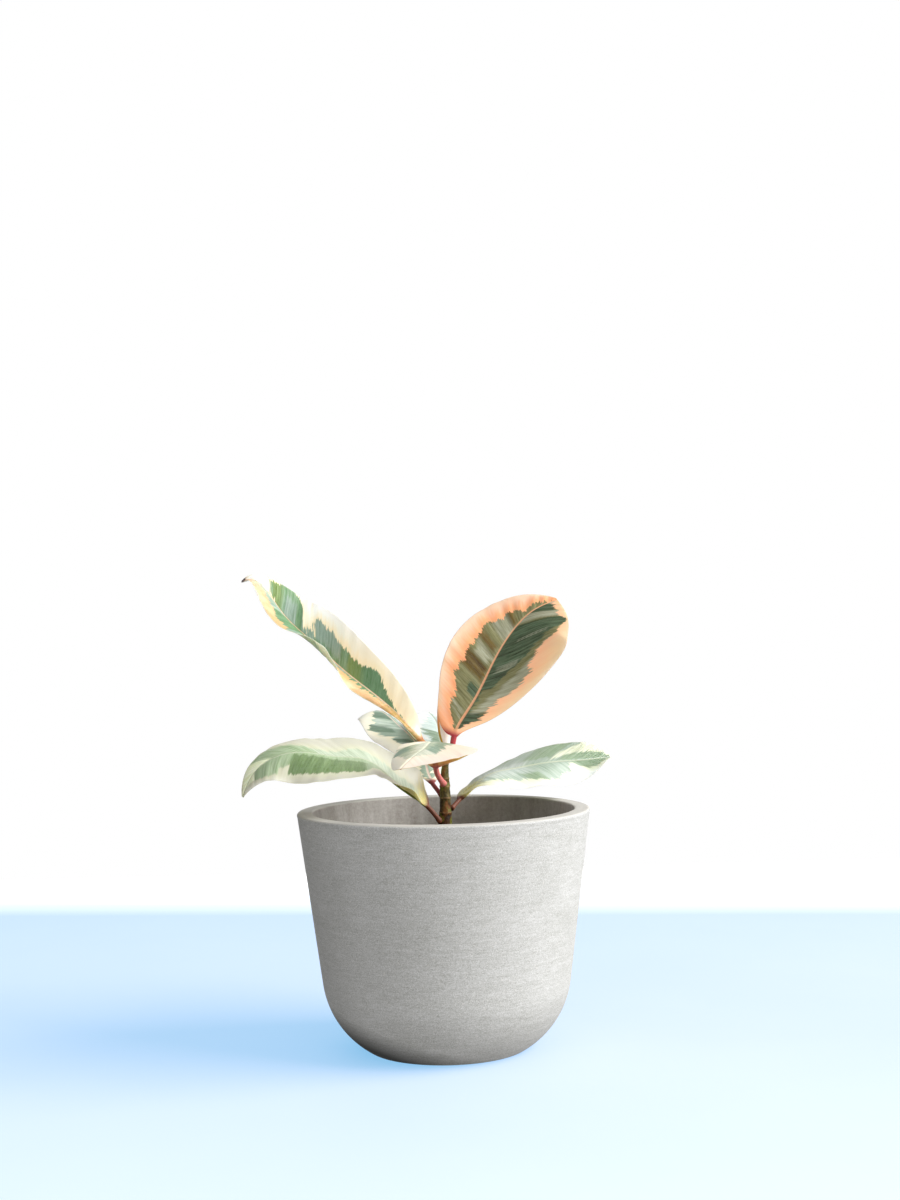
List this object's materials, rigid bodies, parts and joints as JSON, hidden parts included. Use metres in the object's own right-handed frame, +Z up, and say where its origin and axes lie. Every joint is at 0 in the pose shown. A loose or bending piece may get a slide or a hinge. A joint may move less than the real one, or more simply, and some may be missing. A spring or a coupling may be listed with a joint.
{
  "type": "potted plant",
  "caption": "Young variegated rubber plant with broad pointed leaves, standing in a round-bottomed stone-look pot filled with potting mix.",
  "frame": {"origin": "centre of the pot's flat underside, on the surface it stands on", "axes": "+Z up; -Y towards the plant's front; +X to the right as seen from the front"},
  "size_m": [0.1952, 0.15, 0.2437],
  "materials": {
    "pot": "matt warm grey with fine turned streaks",
    "soil": "loose potting mix",
    "stem": "smooth young bark",
    "bud_sheath": "smooth",
    "leaf_lower_left": "leathery, semi-gloss",
    "leaf_lower_right": "leathery, semi-gloss",
    "leaf_front_left": "leathery, semi-gloss",
    "leaf_upper_left": "leathery, semi-gloss",
    "leaf_front": "leathery, semi-gloss",
    "leaf_rear": "leathery, semi-gloss",
    "leaf_upper_right": "leathery, semi-gloss"
  },
  "bodies": {
    "root": {"pot": "pot", "soil": "soil", "stem": "stem", "leaf_lower_left": "leaf_lower_left", "leaf_lower_right": "leaf_lower_right", "leaf_front_left": "leaf_front_left", "leaf_upper_left": "leaf_upper_left", "leaf_front": "leaf_front", "leaf_rear": "leaf_rear", "leaf_upper_right": "leaf_upper_right", "bud_sheath": "bud_sheath"}
  },
  "joints": []
}
